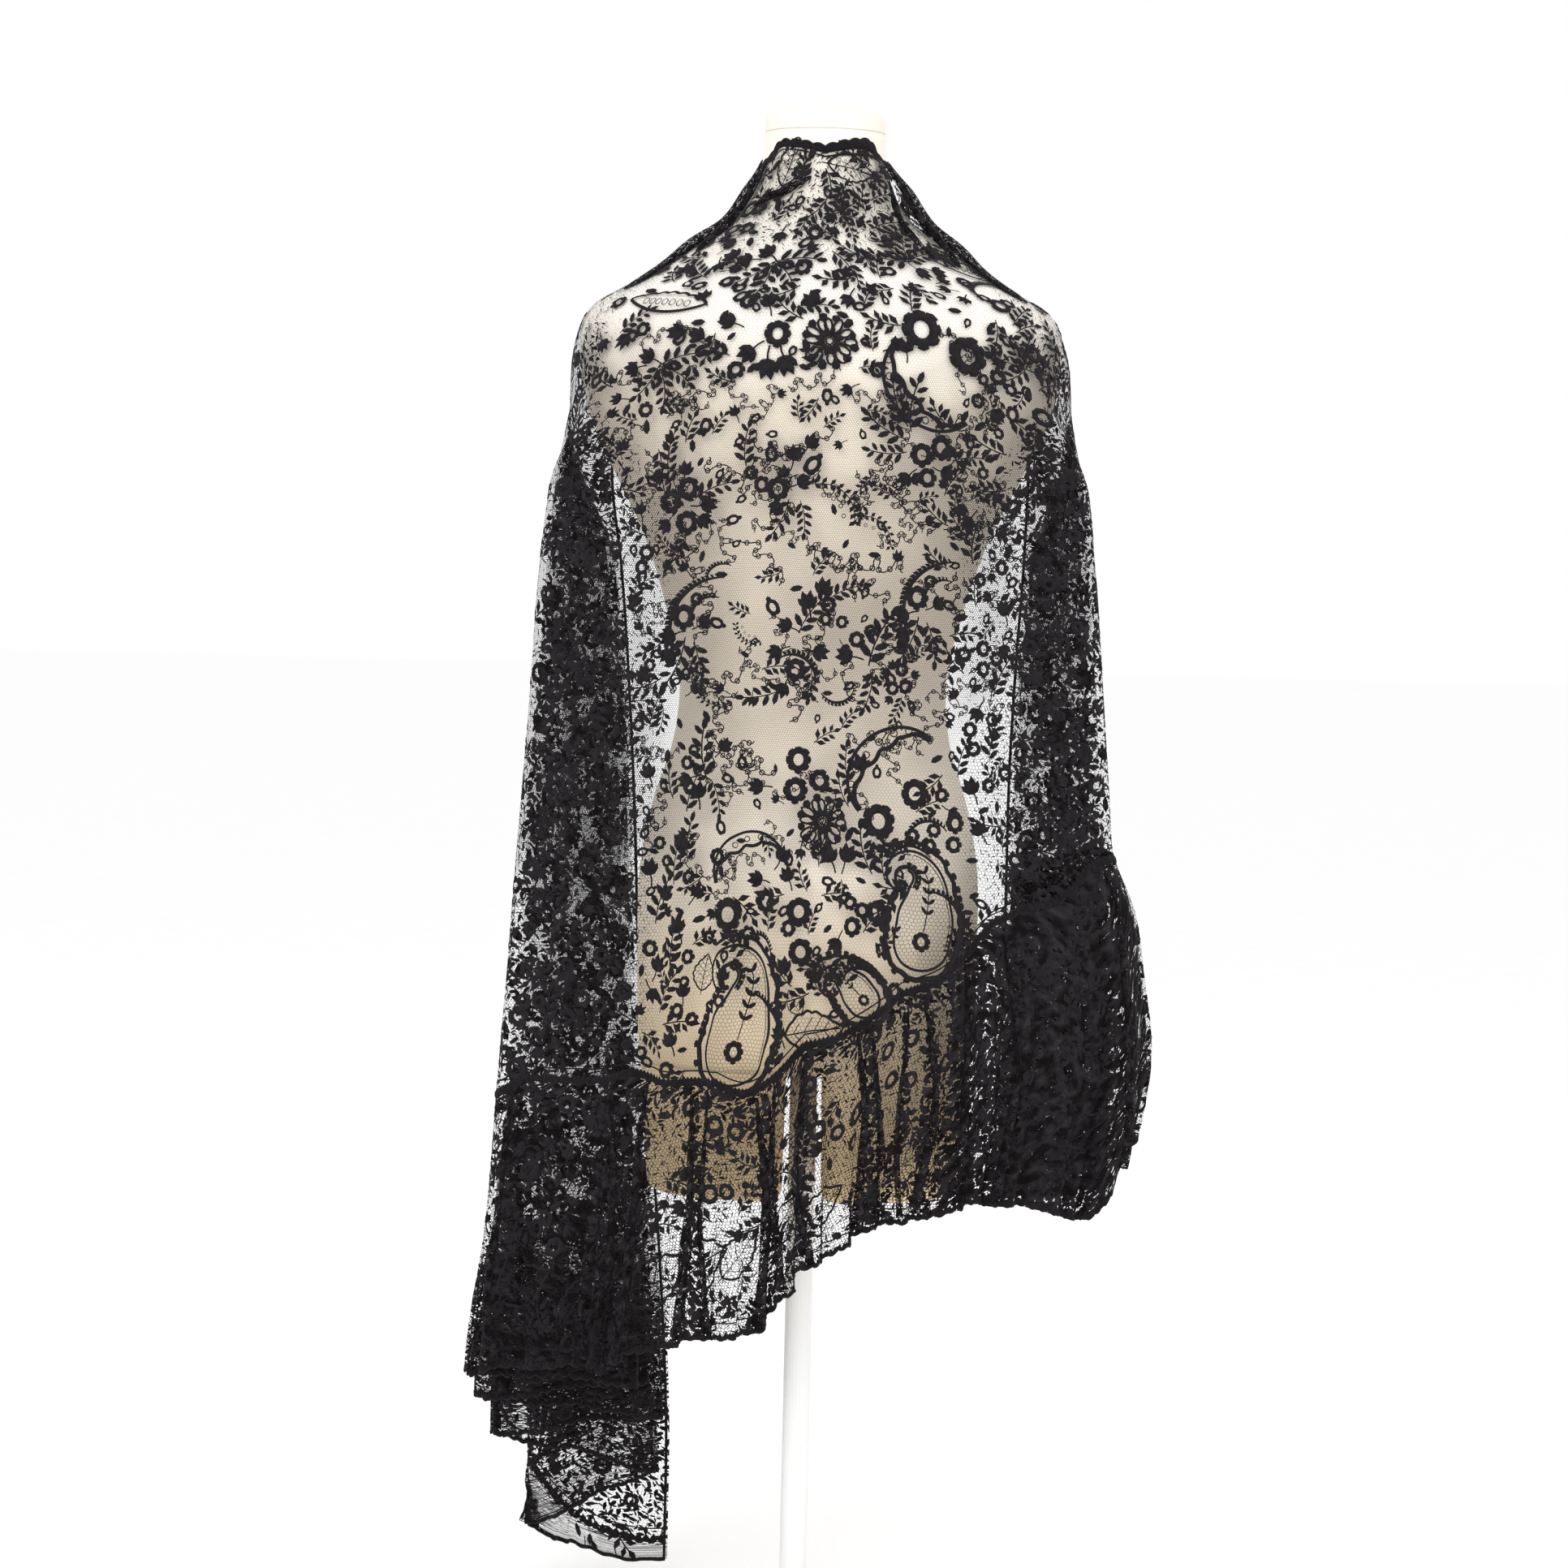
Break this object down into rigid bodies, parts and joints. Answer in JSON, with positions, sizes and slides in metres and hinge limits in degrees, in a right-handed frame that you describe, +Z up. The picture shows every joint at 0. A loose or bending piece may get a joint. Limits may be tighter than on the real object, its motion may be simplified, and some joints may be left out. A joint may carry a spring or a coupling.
{
  "type": "lace mantilla on a limbless dress form with a stand",
  "caption": "Long black floral lace shawl with a gathered flounce, worn round the shoulders of an ivory limbless torso form on a round-based stand.",
  "frame": {"origin": "centre of the underside of the stand's round base", "axes": "+Z up; the back of the form and of the shawl faces -Y and its free front edges face +Y; the longer lace tail is on the -X side"},
  "size_m": [0.5448, 0.34, 1.2414],
  "materials": {
    "black_lace": "fine bobbin lace with a soft dull sheen",
    "ivory_form": "close ivory jersey over a moulded torso",
    "white_cap": "matt off-white",
    "white_stand": "satin white paint"
  },
  "bodies": {
    "root": {"field_back": "black_lace", "field_left_side": "black_lace", "field_left_front": "black_lace", "field_right_side": "black_lace", "field_right_front": "black_lace", "flounce_back": "black_lace", "flounce_left_side": "black_lace", "flounce_left_front": "black_lace", "flounce_right_side": "black_lace", "flounce_right_front": "black_lace", "form_torso": "ivory_form", "neck_cap": "white_cap", "stand_base": "white_stand", "stand_flange": "white_stand", "stand_pole": "white_stand"}
  },
  "joints": []
}
